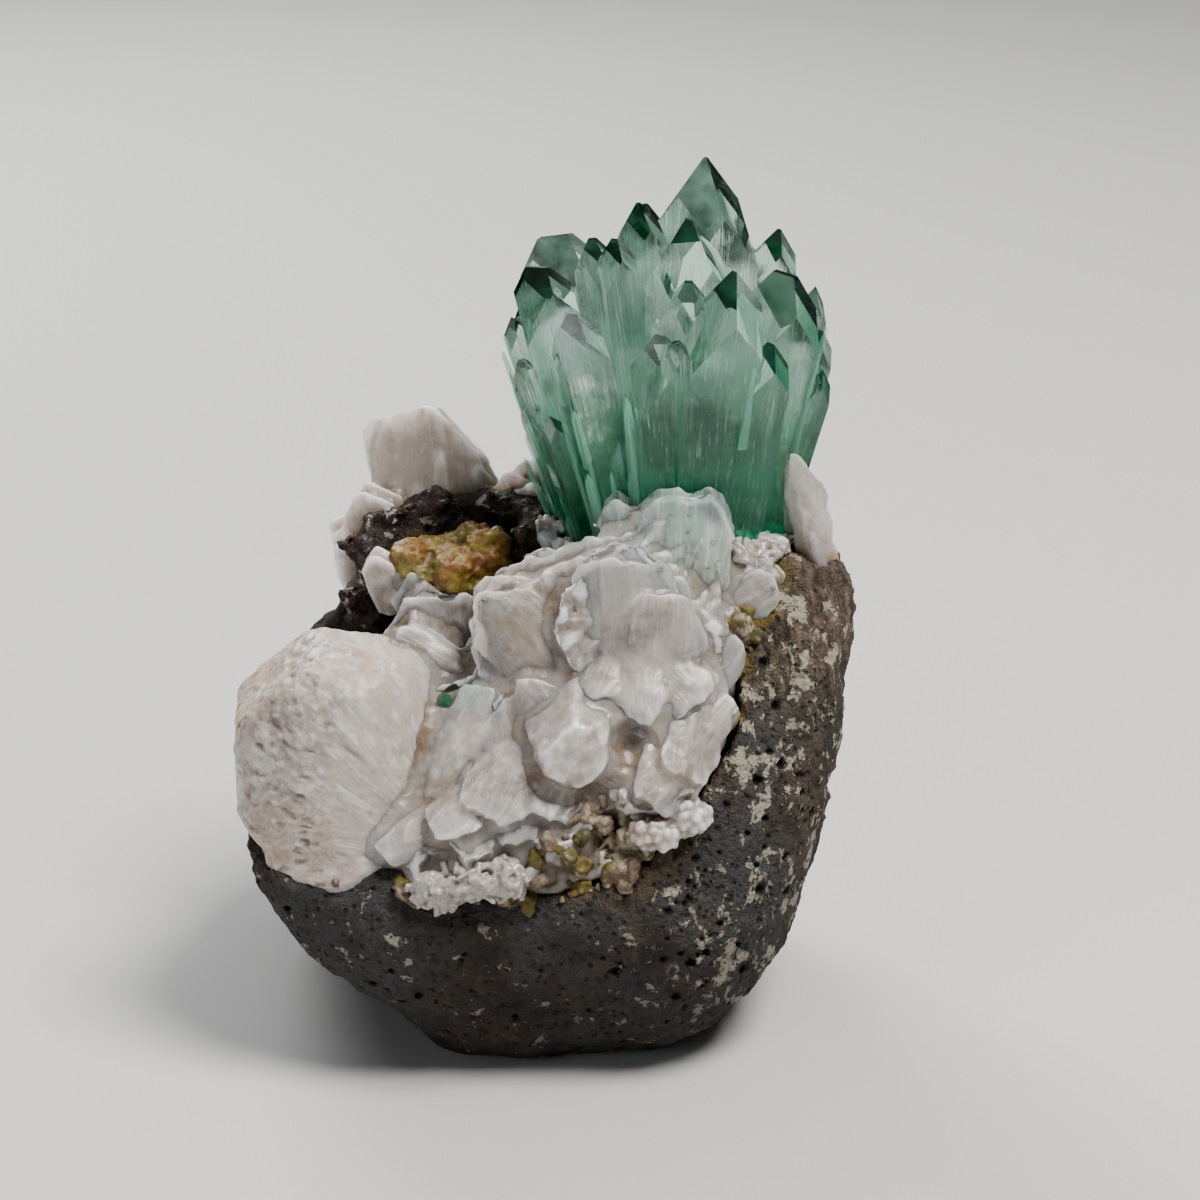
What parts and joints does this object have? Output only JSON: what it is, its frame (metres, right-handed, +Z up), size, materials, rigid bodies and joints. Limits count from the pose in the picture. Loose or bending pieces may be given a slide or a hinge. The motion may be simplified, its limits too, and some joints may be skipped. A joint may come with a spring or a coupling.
{
  "type": "apophyllite and stilbite mineral specimen",
  "caption": "Loose mineral specimen: a spray of clear green square prisms and white blades in the hollow of a dark bubbly rock that stands on a flat underside.",
  "frame": {"origin": "a point of the flat resting face, below the middle of the specimen", "axes": "+Z up, square to the resting face; -Y is the open front of the hollow; +X is to the right seen from the front"},
  "size_m": [0.0757, 0.0622, 0.1052],
  "materials": {
    "basalt": "rough, dark brown-black, with open bubbles and white zeolite specks",
    "apophyllite": "clear and glassy, deep green at the foot and nearly colourless at the points",
    "stilbite": "pearly, translucent white, with cream and light brown stains",
    "clay": "earthy ochre, damp-looking in places"
  },
  "bodies": {
    "root": {"basalt_matrix": "basalt", "apophyllite_spray": "apophyllite", "apophyllite_small_crystal": "apophyllite", "stilbite_crust": "stilbite", "stilbite_back_blade": "stilbite", "stilbite_right_sheaf": "stilbite", "stilbite_rear_cluster": "stilbite", "stilbite_rim_crust": "stilbite", "clay_pocket": "clay"}
  },
  "joints": []
}
